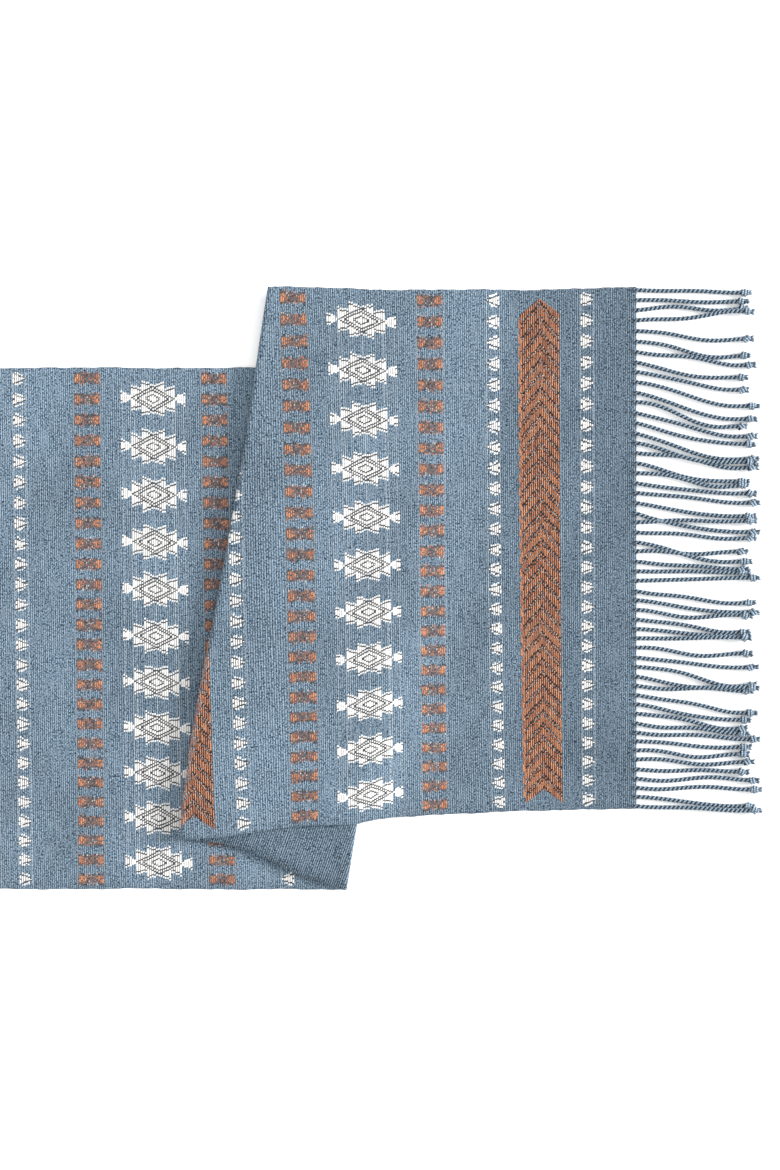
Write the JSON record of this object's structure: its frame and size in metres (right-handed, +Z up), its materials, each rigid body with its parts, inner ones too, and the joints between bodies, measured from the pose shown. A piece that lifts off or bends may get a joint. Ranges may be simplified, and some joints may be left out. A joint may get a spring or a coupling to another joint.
{
  "type": "table runner",
  "caption": "Handwoven blue cotton table runner with white and rust brocade rows across it and knotted twisted fringe at both ends, folded over near one end.",
  "frame": {"origin": "centre of the bounding box at its base, on the surface that the cloth lies on", "axes": "+X along the cloth towards the folded end's fringe, +Y across the cloth, +Z up"},
  "size_m": [1.6732, 0.411, 0.0088],
  "materials": {
    "ground_cloth": "blue melange plain weave with fine ribs, matt",
    "white_brocade": "raised off-white cotton floats, matt",
    "rust_brocade": "raised rust cotton floats, matt",
    "fringe_cord": "two-ply twisted blue cotton cord, matt"
  },
  "bodies": {
    "main": {"main_bow_left_1": "rust_brocade", "main_bow_left_2": "rust_brocade", "main_bow_left_3": "rust_brocade", "main_bow_left_4": "rust_brocade", "main_bow_left_5": "rust_brocade", "main_bow_right_1": "rust_brocade", "main_bow_right_2": "rust_brocade", "main_bow_right_3": "rust_brocade", "main_bow_right_4": "rust_brocade", "main_bow_right_5": "rust_brocade", "main_chevron_1": "rust_brocade", "main_chevron_2": "rust_brocade", "main_chevron_3": "rust_brocade", "main_chevron_4": "rust_brocade", "main_chevron_5": "rust_brocade", "main_diamond_1": "white_brocade", "main_diamond_2": "white_brocade", "main_diamond_3": "white_brocade", "main_diamond_4": "white_brocade", "main_diamond_5": "white_brocade", "main_fringe_1": "fringe_cord", "main_fringe_2": "fringe_cord", "main_fringe_3": "fringe_cord", "main_fringe_4": "fringe_cord", "main_fringe_5": "fringe_cord", "main_fringe_6": "fringe_cord", "main_panel": "ground_cloth", "main_tooth_end": "white_brocade", "main_tooth_left_1": "white_brocade", "main_tooth_left_2": "white_brocade", "main_tooth_left_3": "white_brocade", "main_tooth_left_4": "white_brocade", "main_tooth_left_5": "white_brocade", "main_tooth_right_1": "white_brocade", "main_tooth_right_2": "white_brocade", "main_tooth_right_3": "white_brocade", "main_tooth_right_4": "white_brocade", "main_tooth_right_5": "white_brocade"},
    "fold": {"fold_chevron": "rust_brocade", "fold_panel": "ground_cloth", "fold_tooth": "white_brocade", "fold_tooth_under": "white_brocade"},
    "end": {"end_bow_left": "rust_brocade", "end_bow_right": "rust_brocade", "end_chevron": "rust_brocade", "end_chevron_folded": "rust_brocade", "end_diamond": "white_brocade", "end_fringe_1": "fringe_cord", "end_fringe_2": "fringe_cord", "end_fringe_3": "fringe_cord", "end_fringe_4": "fringe_cord", "end_fringe_5": "fringe_cord", "end_fringe_6": "fringe_cord", "end_panel": "ground_cloth", "end_tooth_folded": "white_brocade", "end_tooth_inner": "white_brocade", "end_tooth_outer": "white_brocade"}
  },
  "joints": [
    {"name": "lower_fold", "type": "hinge", "parent": "main", "child": "fold", "pos_m": [0.5824, -0.0274, 0.004], "axis": [0.1582, 0.9874, 0], "range_deg": [0, 179.9]},
    {"name": "upper_fold", "type": "hinge", "parent": "fold", "child": "end", "pos_m": [0.4709, 0.0172, 0.004], "axis": [0.1582, 0.9874, 0], "range_deg": [-179.9, 0]}
  ],
  "couplings": [
    {"joint": "upper_fold", "follows": "lower_fold", "ratio": -1}
  ]
}
